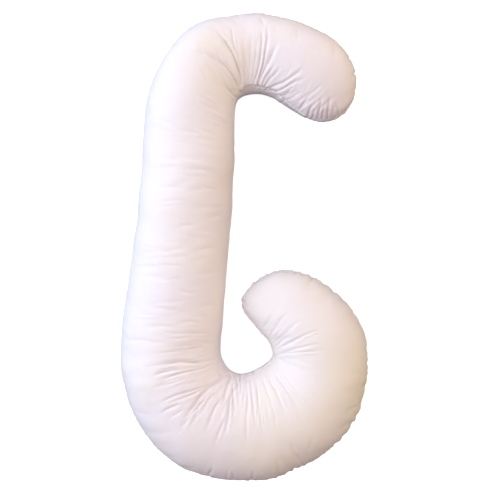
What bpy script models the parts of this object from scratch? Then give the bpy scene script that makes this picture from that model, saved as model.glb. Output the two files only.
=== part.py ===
"""Body pillow: one long filled tube, hooked over at the head and curled round at the foot.

The cover is two panels of cotton sateen, joined by one turned seam that runs all the way
round at mid-height. The fibre filling crowns both panels, the inside of each bend gathers
into a fan of creases, and the seam puckers where spare cloth is eased in round the ends.
The pillow lies on its back: +Y runs from foot to head, +X to the open side, +Z up.
Lengths in the tables are millimetres.
"""

import math
from collections import namedtuple

import bmesh
import bpy
import numpy as np

MM = 0.001

# Mesh of the cover: sections along the tube, and points round each section.
RINGS = 164
AROUND = 32
TOP_SHARE = 0.56            # share of a section's points that lie on the front panel

# Roundness of the two panels: 2 is an ellipse, and more is fuller at the shoulders.
CROWN_POWER = 2.15
BELLY_POWER = 2.5

# Troughs of the cloth: how narrow their core is for their width, and how far round the
# side a crease of the front panel reaches.
CORE = 0.42
SIDE_REACH = 0.2
GATHER_LENGTH = 55.0

COVER_COLOUR = (0.90, 0.86, 0.85, 1.0)
COVER_ROUGHNESS = 0.55

Section = namedtuple("Section", "outer_x outer_y inner_x inner_y seam crown belly step")
# outer, inner: where the seam crosses the section, outside and inside the bends.
# seam: height of the seam. crown: rise of the front panel above it.
# belly: drop of the back panel below it, cut off flat where it meets the floor.
# step: spacing of the mesh rings along the tube.
SECTIONS = [
    Section(315, 423, 315, 423, 70, 0, 0, 8),
    Section(340, 462, 281, 399, 72, 36, 34, 9),
    Section(349, 505, 236, 389, 75, 61, 58, 10),
    Section(342, 552, 188, 402, 78, 77, 74, 10),
    Section(306, 604, 148, 425, 80, 86, 83, 10),
    Section(243, 658, 111, 448, 81, 91, 88, 9),
    Section(167, 694, 78, 465, 82, 95, 90, 8),
    Section(80, 716, 46, 474, 83, 98, 91, 8),
    Section(-12, 720, 14, 476, 84, 101, 92, 8),
    Section(-100, 704, -11, 469, 86, 104, 94, 8),
    Section(-180, 663, -25, 452, 87, 107, 95, 9),
    Section(-246, 597, -31, 422, 88, 109, 96, 11),
    Section(-288, 507, -32, 380, 88, 110, 96, 16),
    Section(-307, 405, -31, 330, 88, 110, 96, 26),
    Section(-313, 300, -31, 268, 88, 110, 96, 38),
    Section(-321, 198, -35, 186, 88, 110, 96, 44),
    Section(-333, 96, -41, 90, 88, 110, 96, 44),
    Section(-347, -10, -49, -10, 88, 111, 96, 44),
    Section(-360, -118, -58, -115, 89, 112, 97, 38),
    Section(-373, -220, -67, -208, 90, 114, 98, 24),
    Section(-380, -305, -72, -274, 91, 116, 99, 14),
    Section(-380, -378, -72, -320, 92, 118, 100, 10),
    Section(-363, -453, -65, -349, 93, 119, 101, 9),
    Section(-329, -530, -52, -370, 94, 120, 102, 8),
    Section(-274, -605, -35, -384, 94, 121, 102, 8),
    Section(-201, -667, -14, -390, 95, 121, 103, 8),
    Section(-112, -708, 5, -389, 95, 121, 103, 8),
    Section(-18, -721, 24, -383, 95, 121, 103, 8),
    Section(75, -714, 43, -374, 94, 120, 102, 8),
    Section(165, -683, 61, -364, 94, 119, 102, 8),
    Section(249, -635, 76, -353, 93, 118, 101, 8),
    Section(314, -572, 86, -341, 92, 116, 100, 8),
    Section(357, -492, 90, -327, 91, 113, 98, 8),
    Section(377, -406, 88, -313, 90, 110, 96, 8),
    Section(380, -319, 81, -298, 88, 106, 94, 8),
    Section(367, -246, 71, -280, 86, 101, 91, 8),
    Section(331, -189, 57, -262, 84, 95, 88, 8),
    Section(283, -143, 41, -246, 82, 88, 84, 8),
    Section(227, -101, 25, -231, 80, 79, 78, 9),
    Section(167, -76, 9, -214, 77, 67, 68, 9),
    Section(113, -71, -3, -197, 74, 53, 54, 9),
    Section(67, -86, -7, -178, 71, 36, 37, 9),
    Section(32, -109, -4, -157, 69, 19, 20, 8),
    Section(12, -132, 12, -132, 68, 0, 0, 7),
]

Fold = namedtuple("Fold", "start_x start_y mid_x mid_y end_x end_y width depth")
# The creases that show from a step away, each from the inside of a bend out over the crown.
# width: from lip to lip. depth: at its deepest.
FOLDS = [
    # fan over the inside of the hook
    Fold(-15, 470, -70, 560, -135, 610, 26, 8),
    Fold(-5, 478, -25, 570, -85, 668, 26, 9),
    Fold(40, 480, 48, 560, 70, 668, 24, 7),
    Fold(52, 482, 72, 580, 108, 628, 22, 7),
    Fold(66, 480, 115, 535, 180, 560, 24, 8),
    # pull from the gathers at the hook's end
    Fold(172, 410, 178, 440, 188, 470, 20, 6),
    Fold(212, 396, 212, 425, 214, 462, 20, 6),
    Fold(252, 398, 244, 425, 236, 452, 20, 6),
    # fan from the foot bend out towards the long back of the tube
    Fold(-70, -305, -160, -360, -260, -378, 26, 7),
    Fold(-68, -330, -150, -395, -250, -470, 26, 7),
    Fold(-58, -375, -125, -430, -185, -545, 28, 10),
    Fold(-45, -395, -95, -470, -150, -540, 24, 9),
    Fold(-40, -405, -60, -470, -90, -590, 26, 8),
    Fold(-25, -410, -38, -480, -52, -560, 24, 8),
    Fold(5, -410, 15, -470, 45, -540, 24, 7),
    Fold(50, -390, 85, -445, 130, -500, 24, 7),
    # fan from the foot bend out into the curl
    Fold(85, -330, 140, -318, 215, -305, 24, 7),
    Fold(88, -312, 140, -285, 220, -250, 24, 8),
    Fold(75, -285, 115, -255, 165, -215, 22, 6),
    Fold(65, -262, 90, -225, 125, -185, 22, 5),
]

Gather = namedtuple("Gather", "x y width depth")
# Puckers of the seam round the two ends and the foot bend: where each one bites.
GATHERS = [
    Gather(343, 542, 26, 6),
    Gather(348, 492, 22, 5),
    Gather(333, 450, 22, 5),
    Gather(297, 406, 22, 5),
    Gather(-2, -166, 20, 5),
    Gather(24, -118, 22, 6),
    Gather(86, -84, 24, 5),
    Gather(133, -74, 22, 5),
    Gather(213, -93, 26, 7),
    Gather(303, -165, 28, 5),
    Gather(372, -268, 28, 4),
    Gather(368, -455, 28, 6),
    Gather(340, -520, 28, 6),
    Gather(300, -590, 28, 6),
    Gather(160, -684, 28, 6),
    Gather(24, -720, 28, 6),
    Gather(-36, -720, 28, 6),
    Gather(-112, -706, 28, 6),
    Gather(-160, -690, 28, 7),
]


def spline(places, values, at):
    """Smooth curve through the values, one column or several, read at the places in at."""
    values = np.asarray(values, float)
    slopes = np.gradient(values, places, axis=0)
    low = np.clip(np.searchsorted(places, at, side="right") - 1, 0, len(places) - 2)
    gap = places[low + 1] - places[low]
    t = ((at - places[low]) / gap)[:, None]
    gap = gap[:, None]
    return (
        (2 * t**3 - 3 * t**2 + 1) * values[low]
        + (t**3 - 2 * t**2 + t) * gap * slopes[low]
        + (3 * t**2 - 2 * t**3) * values[low + 1]
        + (t**3 - t**2) * gap * slopes[low + 1]
    )


def running_total(amounts):
    return np.concatenate([[0.0], np.cumsum(amounts)])


def section_rows():
    """The section table read at every ring, from the hook's tip to the curl's tip."""
    table = np.array(SECTIONS, float)
    moved = np.diff(table[:, :4], axis=0)
    outer, inner = np.hypot(moved[:, 0], moved[:, 1]), np.hypot(moved[:, 2], moved[:, 3])
    places = running_total((outer + inner) / 2)
    fine = np.linspace(0.0, places[-1], 4000)
    per_mm = 1.0 / np.interp(fine, places, table[:, 7])
    count = running_total((per_mm[1:] + per_mm[:-1]) / 2 * np.diff(fine))
    ring_places = np.interp(np.linspace(0.0, count[-1], RINGS + 1), count, fine)
    return [Section(*row) for row in spline(places, table, ring_places)]


def angle_round(turn):
    """Angle round a section for an evenly counted turn of 0 to 1, closer set on the front."""
    if turn < TOP_SHARE:
        return math.pi * turn / TOP_SHARE
    return math.pi * (1.0 + (turn - TOP_SHARE) / (1.0 - TOP_SHARE))


def section_point(row, angle):
    """Point of the cover at an angle round a section: 0 outer seam, a quarter turn crown."""
    across, up = math.cos(angle), math.sin(angle)
    power = CROWN_POWER if up > 0 else BELLY_POWER
    reach = math.copysign(abs(across) ** (2 / power), across)
    rise = (row.crown if up > 0 else -row.belly) * abs(up) ** (2 / power)
    x = (row.outer_x + row.inner_x) / 2 + (row.outer_x - row.inner_x) / 2 * reach
    y = (row.outer_y + row.inner_y) / 2 + (row.outer_y - row.inner_y) / 2 * reach
    return x, y, max(row.seam + rise, 0.0)


def filled_tube(rows):
    """A sphere drawn out along the sections: its poles are the tips, its meridians run
    from tip to tip, and two of them are the seam."""
    mesh = bmesh.new()
    bmesh.ops.create_uvsphere(mesh, u_segments=AROUND, v_segments=RINGS, radius=1.0)
    for vert in mesh.verts:
        height = max(-1.0, min(1.0, vert.co.z))
        ring = round(math.acos(height) / math.pi * RINGS)
        turn = (math.atan2(vert.co.y, vert.co.x) / math.tau) % 1.0
        vert.co = [length * MM for length in section_point(rows[ring], angle_round(turn))]
    return mesh


def gather_fold(gather, rows):
    """A pucker as a short crease, from its bite in the seam towards the middle of the tube."""
    ends = [(row.outer_x, row.outer_y, row) for row in rows]
    ends += [(row.inner_x, row.inner_y, row) for row in rows]
    nearest = min(ends, key=lambda end: math.hypot(end[0] - gather.x, end[1] - gather.y))[2]
    to_x = (nearest.outer_x + nearest.inner_x) / 2 - gather.x
    to_y = (nearest.outer_y + nearest.inner_y) / 2 - gather.y
    share = GATHER_LENGTH / math.hypot(to_x, to_y)
    end_x, end_y = gather.x + to_x * share, gather.y + to_y * share
    mid_x, mid_y = (gather.x + end_x) / 2, (gather.y + end_y) / 2
    return Fold(gather.x, gather.y, mid_x, mid_y, end_x, end_y, gather.width, gather.depth)


def trough(fold, x, y):
    """Depth of one crease at a point of the plan: a soft trough along a bent line that
    fades out towards its end."""
    line = [(fold.start_x, fold.start_y), (fold.mid_x, fold.mid_y), (fold.end_x, fold.end_y)]
    best, along = math.inf, 0.0
    for leg in range(2):
        (ax, ay), (bx, by) = line[leg], line[leg + 1]
        dx, dy = bx - ax, by - ay
        t = max(0.0, min(1.0, ((x - ax) * dx + (y - ay) * dy) / (dx * dx + dy * dy)))
        distance = math.hypot(x - ax - t * dx, y - ay - t * dy)
        if distance < best:
            best, along = distance, (leg + t) / 2
    if best > fold.width:
        return 0.0
    fade = min(1.0, (1.0 - along) * 2.0)
    return fold.depth * fade * math.exp(-((best / (fold.width * CORE)) ** 2))


def press_folds(mesh, rows):
    """Sinks the creases into the front panel, and the puckers into both, square to the cloth."""
    mesh.normal_update()
    gathers = [gather_fold(gather, rows) for gather in GATHERS]
    moves = []
    for vert in mesh.verts:
        x, y = vert.co.x / MM, vert.co.y / MM
        front = max(0.0, min(1.0, (vert.normal.z + SIDE_REACH) / (2 * SIDE_REACH)))
        crease = max(trough(fold, x, y) for fold in FOLDS) * front
        pucker = max(trough(fold, x, y) for fold in gathers)
        moves.append(vert.normal * (max(crease, pucker) * MM))
    for vert, move in zip(mesh.verts, moves):
        if vert.co.z > 0.0:
            vert.co -= move


def centre_on_floor(mesh):
    """Puts the middle of the pillow's footprint at the origin."""
    places = np.array([vert.co[:] for vert in mesh.verts])
    middle = (places.min(axis=0) + places.max(axis=0)) / 2
    for vert in mesh.verts:
        vert.co.x -= middle[0]
        vert.co.y -= middle[1]


def cover_material():
    material = bpy.data.materials.new("white_sateen")
    material.use_nodes = True
    shader = material.node_tree.nodes["Principled BSDF"]
    shader.inputs["Base Color"].default_value = COVER_COLOUR
    shader.inputs["Roughness"].default_value = COVER_ROUGHNESS
    shader.inputs["Metallic"].default_value = 0.0
    return material


def main():
    for old in list(bpy.data.objects):
        bpy.data.objects.remove(old)
    collection = bpy.data.collections.new("body_pillow")
    bpy.context.scene.collection.children.link(collection)
    rows = section_rows()
    mesh = filled_tube(rows)
    press_folds(mesh, rows)
    centre_on_floor(mesh)
    data = bpy.data.meshes.new("pillow")
    mesh.to_mesh(data)
    mesh.free()
    data.shade_smooth()
    data.materials.append(cover_material())
    pillow = bpy.data.objects.new("pillow", data)
    collection.objects.link(pillow)


main()
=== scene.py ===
# %% [markdown]
# # A body pillow in white cotton sateen
# The real object is one long tube of cloth, packed with fibre, hooked over at the head and
# curled round at the foot. Two C-shaped panels are sewn together face to face and turned
# right side out, so the only line on it is one seam at mid-height, all the way round.
# Everything else that the eye reads as cloth is what the filling does to those two panels:
# they crown, they gather into fans inside the bends, and they pucker along the seam.
# We make the big form first, then the creases, then the seam, and the finish comes last.

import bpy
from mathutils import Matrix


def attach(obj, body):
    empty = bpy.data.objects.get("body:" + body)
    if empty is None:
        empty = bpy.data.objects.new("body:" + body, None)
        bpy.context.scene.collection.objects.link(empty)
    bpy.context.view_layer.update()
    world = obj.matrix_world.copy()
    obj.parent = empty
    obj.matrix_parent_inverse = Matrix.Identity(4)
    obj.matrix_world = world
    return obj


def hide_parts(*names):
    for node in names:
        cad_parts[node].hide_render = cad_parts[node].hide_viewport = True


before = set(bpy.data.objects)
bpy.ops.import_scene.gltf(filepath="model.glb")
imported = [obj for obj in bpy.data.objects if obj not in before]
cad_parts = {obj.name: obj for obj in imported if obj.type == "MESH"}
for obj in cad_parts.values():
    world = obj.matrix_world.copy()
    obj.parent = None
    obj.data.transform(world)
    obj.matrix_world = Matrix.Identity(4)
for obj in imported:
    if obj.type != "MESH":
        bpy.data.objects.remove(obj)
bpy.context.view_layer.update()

# %% [markdown]
# ## Units and tools
# A maker writes sizes in millimetres, and Blender counts in metres, so the tables below are
# in millimetres and one constant turns them. Numpy holds the points of the cloth as one big
# array, which is quicker and shorter than a loop over a hundred thousand vertices. All random
# draws come from one numbered source, so every run sews the same pillow.

# %% Units and tools
import time
from collections import namedtuple

import bpy
import numpy as np
from mathutils import Vector

MM = 0.001
SEED = 20

chance = np.random.default_rng(SEED)
print("sizes: one millimetre is", MM, "m, draws start from number", SEED)

# %% [markdown]
# ## The camera
# The pillow lies on its back and is looked at from straight above, so the camera hangs over
# the middle of it and needs no turning: a new camera already looks straight down. A long lens
# from far away would flatten the round sides; at 2.6 m the bulge of the tube still hides its
# own lower edge a little, as it does from a step ladder. The lens follows from two sizes: how
# far the eye is above the seam, and how wide a strip it takes in there.

# %% Camera over the pillow
EYE = np.array([18.0, -13.5, 2600.0])
SEAM_HEIGHT = 90.0
STRIP_WIDTH = 1550.0
SENSOR_WIDTH = 36.0

camera_data = bpy.data.cameras.new("overhead_camera")
camera_data.sensor_width = SENSOR_WIDTH
camera_data.lens = SENSOR_WIDTH * (EYE[2] - SEAM_HEIGHT) / STRIP_WIDTH
camera = bpy.data.objects.new("overhead_camera", camera_data)
camera.location = EYE * MM
bpy.context.collection.objects.link(camera)
bpy.context.scene.camera = camera
print("camera: lens", round(camera_data.lens, 1), "mm")

# %% [markdown]
# ## Sections of the filled tube
# A soft form like this could be sculpted, or inflated from two flat panels. Here it is
# lofted, because a table of sections keeps every size readable: each row says where the
# seam lies outside and inside the bend, how high it runs, and how far the front panel rises
# above it and the back panel drops below it. The tube grows from the head towards the foot,
# and its crown sags in the crook of the hook, where the bend takes up cloth. The last column
# is how closely the form is described there: finer in the bends than along the straight back.

# %% Table of sections
Section = namedtuple("Section", "outer_x outer_y inner_x inner_y seam crown belly step")
SECTIONS = [
    Section(315, 423, 315, 423, 70, 0, 0, 8),
    Section(340, 462, 282, 405, 72, 36, 34, 9),
    Section(349, 505, 237, 399, 75, 56, 58, 10),
    Section(343, 553, 191, 411, 78, 75, 74, 10),
    Section(314, 610, 152, 434, 80, 87, 83, 10),
    Section(251, 669, 114, 458, 81, 91, 88, 9),
    Section(171, 705, 81, 475, 82, 86, 90, 8),
    Section(82, 722, 47, 482, 83, 81, 91, 8),
    Section(-12, 727, 14, 481, 84, 81, 92, 8),
    Section(-104, 713, -11, 471, 86, 91, 94, 8),
    Section(-184, 666, -25, 453, 87, 102, 95, 9),
    Section(-246, 597, -31, 422, 88, 109, 96, 11),
    Section(-288, 507, -32, 380, 88, 110, 96, 12),
    Section(-307, 405, -31, 330, 88, 110, 96, 14),
    Section(-313, 300, -31, 268, 88, 110, 96, 14),
    Section(-321, 198, -35, 186, 88, 110, 96, 14),
    Section(-333, 96, -41, 90, 88, 110, 96, 14),
    Section(-347, -10, -49, -10, 88, 111, 96, 14),
    Section(-360, -118, -58, -115, 89, 112, 97, 14),
    Section(-373, -220, -67, -208, 90, 114, 98, 13),
    Section(-380, -305, -72, -274, 91, 116, 99, 11),
    Section(-380, -378, -72, -320, 92, 118, 100, 10),
    Section(-363, -453, -65, -349, 93, 122, 101, 9),
    Section(-329, -530, -52, -370, 94, 124, 102, 8),
    Section(-274, -605, -35, -384, 94, 125, 102, 8),
    Section(-200, -663, -14, -390, 95, 125, 103, 8),
    Section(-112, -699, 5, -389, 95, 124, 103, 8),
    Section(-18, -710, 24, -383, 95, 122, 103, 8),
    Section(74, -706, 43, -374, 94, 120, 102, 8),
    Section(161, -675, 61, -364, 94, 119, 102, 8),
    Section(246, -631, 76, -353, 93, 118, 101, 8),
    Section(311, -570, 86, -341, 92, 116, 100, 8),
    Section(357, -492, 90, -327, 91, 113, 98, 8),
    Section(377, -406, 88, -313, 90, 110, 96, 8),
    Section(380, -319, 81, -298, 88, 106, 94, 8),
    Section(367, -246, 71, -280, 86, 101, 91, 8),
    Section(334, -186, 54, -265, 84, 95, 88, 8),
    Section(286, -138, 39, -248, 82, 88, 84, 8),
    Section(229, -96, 24, -231, 80, 79, 78, 9),
    Section(168, -71, 9, -214, 77, 67, 68, 9),
    Section(112, -67, -2, -197, 74, 53, 54, 9),
    Section(64, -82, -7, -177, 71, 36, 37, 9),
    Section(27, -106, -8, -156, 69, 19, 20, 8),
    Section(7, -131, 7, -131, 68, 0, 0, 7),
]
print("sections:", len(SECTIONS))

# %% [markdown]
# ## Rings along the tube
# Between the rows of the table runs a smooth curve. We read it at about a thousand places,
# and each place gives one ring of points. Even steps would be simpler, but would spend most
# of the points on the plain back, so the step column packs them where the cloth will carry
# creases.

# %% Rings read from the table
RINGS = 1010
READINGS = 8000              # places where the spacing of the rings is worked out


def running_total(amounts):
    return np.concatenate([[0.0], np.cumsum(amounts)])


def spline(places, values, at):
    """Smooth curve through the rows of values, read at the places in at."""
    slopes = np.gradient(values, places, axis=0)
    low = np.clip(np.searchsorted(places, at, side="right") - 1, 0, len(places) - 2)
    gap = (places[low + 1] - places[low])[:, None]
    t = (at - places[low])[:, None] / gap
    return (
        (2 * t**3 - 3 * t**2 + 1) * values[low]
        + (t**3 - 2 * t**2 + t) * gap * slopes[low]
        + (3 * t**2 - 2 * t**3) * values[low + 1]
        + (t**3 - t**2) * gap * slopes[low + 1]
    )


def ring_table():
    """The rings, their places along the tube, and the rows of the table they lie between."""
    table = np.array(SECTIONS, float)
    outer = np.diff(table[:, 0:2], axis=0)
    inner = np.diff(table[:, 2:4], axis=0)
    places = running_total((np.hypot(*outer.T) + np.hypot(*inner.T)) / 2)
    readings = np.linspace(0.0, places[-1], READINGS)
    steps = [section.step for section in SECTIONS]
    closeness = 1.0 / np.interp(readings, places, steps)
    count = running_total((closeness[1:] + closeness[:-1]) / 2 * np.diff(readings))
    ring_places = np.interp(np.linspace(0.0, count[-1], RINGS + 1), count, readings)
    ring_rows = np.interp(ring_places, places, np.arange(len(SECTIONS)))
    return Section(*spline(places, table, ring_places).T), ring_places, ring_rows


rings, ring_places, ring_rows = ring_table()
print("tube:", round(ring_places[-1]), "mm long, rings", round(np.diff(ring_places).min(), 1),
      "to", round(np.diff(ring_places).max(), 1), "mm apart")

# %% [markdown]
# ## Angles round a section
# Each ring is walked round from the outer seam, over the crown to the inner seam, and back
# under the pillow. Even steps would leave the seam coarse, where the cloth turns over in a
# few millimetres, so the points crowd towards it. The front has three times as many as the
# back, with more of them on the inner half, which carries the fans of creases.

# %% Angles round a section
FRONT_POINTS = 74
BACK_POINTS = 24
AROUND = FRONT_POINTS + BACK_POINTS
INWARD_LEAN = 0.22           # how much the front's points lean to the inner half
SEAM_CROWDING = 0.5          # and how much all of them crowd towards the seam


def half_turn(count, lean):
    """Angles from 0 to half a turn, closer together at both ends, and more so at the far one."""
    share = np.arange(count) / count
    even = np.pi * (share + lean * share * (1 - share))
    return even - SEAM_CROWDING * np.sin(2 * even) / 2


def angles_round():
    """Angle of every point round a section: 0 outer seam, a quarter turn crown."""
    front = half_turn(FRONT_POINTS, INWARD_LEAN)
    back = half_turn(BACK_POINTS, 0.0)
    return np.concatenate([front, np.pi + back])


print("points round a section:", len(angles_round()))

# %% [markdown]
# ## The shape of a section
# A filled tube is not a circle: it is wider than high, fuller at the shoulders than an
# ellipse, and flat where it lies on the floor. A section could be drawn point by point, but a
# superellipse gives the shoulders with one number. In a bend the crown leans outwards, where
# the cloth is stretched full. The small table gives by what share of the half width.

# %% Points round every section
CROWN_POWER = 2.15           # 2 is an ellipse, and more is fuller at the shoulders
BELLY_POWER = 2.5
FLOOR_SOFTNESS = 4.0
CrownLean = namedtuple("CrownLean", "row share")
CROWN_LEANS = [
    CrownLean(0, 0.0),
    CrownLean(2, 0.08),
    CrownLean(4, 0.16),
    CrownLean(10, 0.19),
    CrownLean(12, 0.03),
    CrownLean(14, -0.05),
    CrownLean(19, -0.05),
    CrownLean(22, 0.08),
    CrownLean(25, 0.12),
    CrownLean(31, 0.12),
    CrownLean(34, 0.0),
]


def rest_on_floor(height):
    """Keeps heights above the floor, with a small rounding where the cloth leaves it."""
    return (height + np.sqrt(height**2 + FLOOR_SOFTNESS**2)) / 2


def tube_points(rings):
    """One point for every ring and angle, as an array of rings x angles x (x, y, z)."""
    angle = angles_round()
    power = np.where(np.sin(angle) > 0, CROWN_POWER, BELLY_POWER)
    across = np.sign(np.cos(angle)) * np.abs(np.cos(angle)) ** (2 / power)
    up = np.abs(np.sin(angle)) ** (2 / power)
    lean = np.interp(ring_rows[1:-1], *zip(*CROWN_LEANS))[:, None]
    across = across + lean * (1 - across**2) * (np.sin(angle) > 0)
    columns = {name: values[1:-1, None] for name, values in rings._asdict().items()}
    r = Section(**columns)
    rise = np.where(np.sin(angle) > 0, r.crown, -r.belly) * up
    x = (r.outer_x + r.inner_x) / 2 + (r.outer_x - r.inner_x) / 2 * across
    y = (r.outer_y + r.inner_y) / 2 + (r.outer_y - r.inner_y) / 2 * across
    return np.stack([x, y, rest_on_floor(r.seam + rise)], axis=-1)


points = tube_points(rings)
tips = np.array([[rings.outer_x[end], rings.outer_y[end], rings.seam[end]] for end in (0, -1)])
print("points:", points.shape[0] * points.shape[1] + 2)

# %% [markdown]
# ## Distances on the cloth
# Creases and puckers are measured on the cloth, not in space: so many millimetres along the
# seam, so many in from it. Adding up the lengths between neighbouring points gives both. We
# also need the way out of the cloth at every point, which is square to the two lines of
# points that cross there.

# %% Distances on the cloth
INNER_SEAM = FRONT_POINTS


def out_of_cloth(points):
    """Unit direction square to the cloth at every point, from the points on either side."""
    ends = tips[:, None].repeat(AROUND, 1)
    along = np.concatenate([ends[:1], points, ends[1:]])
    along = along[2:] - along[:-2]
    over = np.roll(points, -1, axis=1) - np.roll(points, 1, axis=1)
    out = np.cross(along, over)
    return out / np.linalg.norm(out, axis=2, keepdims=True)


def length_round(points):
    """How far each point lies from the outer seam, over the crown and on under the back."""
    legs = np.linalg.norm(np.diff(points, axis=1, append=points[:, :1]), axis=2)
    total = np.cumsum(legs, axis=1)
    return np.concatenate([np.zeros((len(points), 1)), total[:, :-1]], axis=1), total[:, -1:]


def length_along(line):
    return running_total(np.linalg.norm(np.diff(line, axis=0), axis=1))


outer_run = length_along(points[:, 0])
inner_run = length_along(points[:, INNER_SEAM])
round_length, girth = length_round(points)
print("edge of the tube:", round((outer_run[-1] + inner_run[-1]) * MM, 2), "m round,",
      "girth at most", round(girth.max()), "mm")

# %% [markdown]
# ## Where the seam lies
# The seam is not on the widest line of the tube. Filling pulls the back panel up past it, most
# of all in the crook of the hook and on the outside of the foot, so from above the seam shows
# there as a line just inside the edge. The table says, for some rows of the table of sections,
# how many millimetres of cloth lie between the widest line and the seam.

# %% Where the seam lies
SeamLift = namedtuple("SeamLift", "row outer inner")
SEAM_LIFTS = [
    SeamLift(0, 9, 9),
    SeamLift(2, 16, 18),
    SeamLift(4, 14, 24),
    SeamLift(6, 12, 36),
    SeamLift(8, 12, 40),
    SeamLift(10, 12, 26),
    SeamLift(13, 12, 10),
    SeamLift(19, 14, 8),
    SeamLift(23, 18, 10),
    SeamLift(27, 24, 12),
    SeamLift(31, 34, 12),
    SeamLift(35, 22, 12),
    SeamLift(37, 8, 12),
    SeamLift(43, 4, 6),
]
NEARLY_ROUND = 0.75          # from this share of the girth on, the outer seam is ahead


def seam_lift(side):
    rows = [lift.row for lift in SEAM_LIFTS]
    lifts = [getattr(lift, side) for lift in SEAM_LIFTS]
    return np.interp(ring_rows[1:-1], rows, lifts)[:, None]


nearly_round = round_length > girth * NEARLY_ROUND
past_outer = np.where(nearly_round, round_length - girth, round_length)
from_outer = np.abs(past_outer - seam_lift("outer"))
from_inner = np.abs(round_length - round_length[:, INNER_SEAM, None] + seam_lift("inner"))
from_seam = np.minimum(from_outer, from_inner)
highest = max(max(lift.outer, lift.inner) for lift in SEAM_LIFTS)
print("seam: lies up to", highest, "mm above the widest line")

# %% [markdown]
# ## Lumps of filling
# Fibre is blown in tuft by tuft, so the surface swells and dips by a millimetre or two from
# one tuft to the next. Lumps could be sculpted one by one, but dozens of slow waves in random
# directions, with low quick ones over them, add up to lumps that never repeat.

# %% Lumps of filling
Lumps = namedtuple("Lumps", "waves shortest longest height")
LUMPS = [Lumps(36, 70.0, 240.0, 1.6), Lumps(60, 26.0, 60.0, 0.30)]


def lumps(points, size):
    total = np.zeros(points.shape[:2])
    for _ in range(size.waves):
        heading = chance.normal(size=3)
        heading /= np.linalg.norm(heading)
        length = chance.uniform(size.shortest, size.longest)
        start = chance.uniform(0, 2 * np.pi)
        total += length * np.sin(points @ heading * 2 * np.pi / length + start)
    return total * size.height / total.std()


lump = sum(lumps(points, size) for size in LUMPS)
print("lumps: from", round(lump.min(), 1), "to", round(lump.max(), 1), "mm")

# %% [markdown]
# ## Creases
# Inside a bend there is more cloth than room, so it folds into a fan of creases that start
# at the seam and run out over the crown. They could be left to a simulation, but it would
# put them where it likes, so each one is a line of a few points, with a depth and a width,
# placed as it looks from above. The hook's fan comes first. At the hook's end the cloth is
# gathered into a blunt tip, and short pulls run out from the seam there.

# %% Creases of the hook
Crease = namedtuple("Crease", "depth width line")
CREASES = [
    # fan inside the hook
    Crease(9.5, 2.6, [(-7, 512), (-11, 536), (-22, 574), (-35, 608), (-56, 642), (-72, 663),
                      (-87, 682)]),
    Crease(4.3, 2.8, [(-25, 608), (-33, 642), (-36, 664), (-41, 688)]),
    Crease(2.4, 2.8, [(-6, 532), (-13, 580), (-20, 632), (-24, 680)]),
    Crease(7.6, 3.7, [(-19, 505), (-38, 542), (-63, 572), (-91, 592), (-115, 604), (-159, 611)]),
    Crease(2.2, 3.5, [(-106, 600), (-125, 611), (-140, 620)]),
    Crease(3.8, 3.5, [(-25, 468), (-41, 487), (-66, 508)]),
    Crease(5.7, 2.6, [(27, 499), (35, 524), (46, 564), (53, 611), (56, 650), (56, 688)]),
    Crease(5.5, 2.6, [(37, 499), (47, 533), (58, 570), (66, 617), (71, 655), (72, 691)]),
    Crease(5.2, 3.7, [(43, 502), (58, 542), (80, 586), (95, 617), (108, 639)]),
    Crease(4.3, 2.8, [(52, 499), (64, 527), (83, 555), (95, 570)]),
    Crease(4.6, 2.8, [(58, 496), (74, 518), (99, 546), (114, 561)]),
    Crease(6.3, 3.0, [(64, 490), (92, 505), (123, 518), (145, 533), (164, 546), (182, 561)]),
    Crease(6.3, 2.5, [(74, 487), (108, 490), (130, 502), (152, 516), (190, 526)]),
    Crease(1.9, 4.0, [(6, 505), (4, 549), (2, 600), (-2, 664)]),
    Crease(2.3, 3.6, [(14, 505), (18, 549), (21, 604), (22, 668)]),
    Crease(2.0, 3.2, [(22, 505), (30, 549), (37, 604), (42, 662)]),
    Crease(2.4, 3.1, [(-53, 623), (-72, 648), (-100, 673)]),
    Crease(2.4, 4.4, [(92, 471), (133, 480), (173, 493)]),
    Crease(2.4, 3.5, [(117, 456), (148, 468), (179, 490)]),
    # pulls at the hook's end
    Crease(4.2, 2.4, [(168, 428), (180, 446), (196, 466)]),
    Crease(5.6, 2.0, [(197, 406), (201, 424), (210, 446)]),
    Crease(4.2, 1.9, [(211, 404), (215, 420), (221, 436)]),
    Crease(5.9, 2.1, [(226, 402), (233, 430), (238, 470)]),
    Crease(3.9, 1.8, [(241, 402), (243, 420), (247, 442)]),
    Crease(6.4, 2.1, [(258, 402), (260, 432), (267, 474)]),
    Crease(3.9, 1.9, [(274, 406), (274, 424), (277, 444)]),
    Crease(4.5, 2.3, [(292, 416), (288, 436), (282, 460)]),
]
print("creases of the hook:", len(CREASES))

# %% [markdown]
# ## Creases of the foot bend
# The foot turns the tube right round, so its fan is the widest on the pillow. It opens from
# the inside of the bend like the ribs of a shell: towards the long back on one side, and
# round under the bend to the outer edge on the other. Every rib has a length and a depth of
# its own, and where two run close together the cloth between them stands up as a roll.

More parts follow.
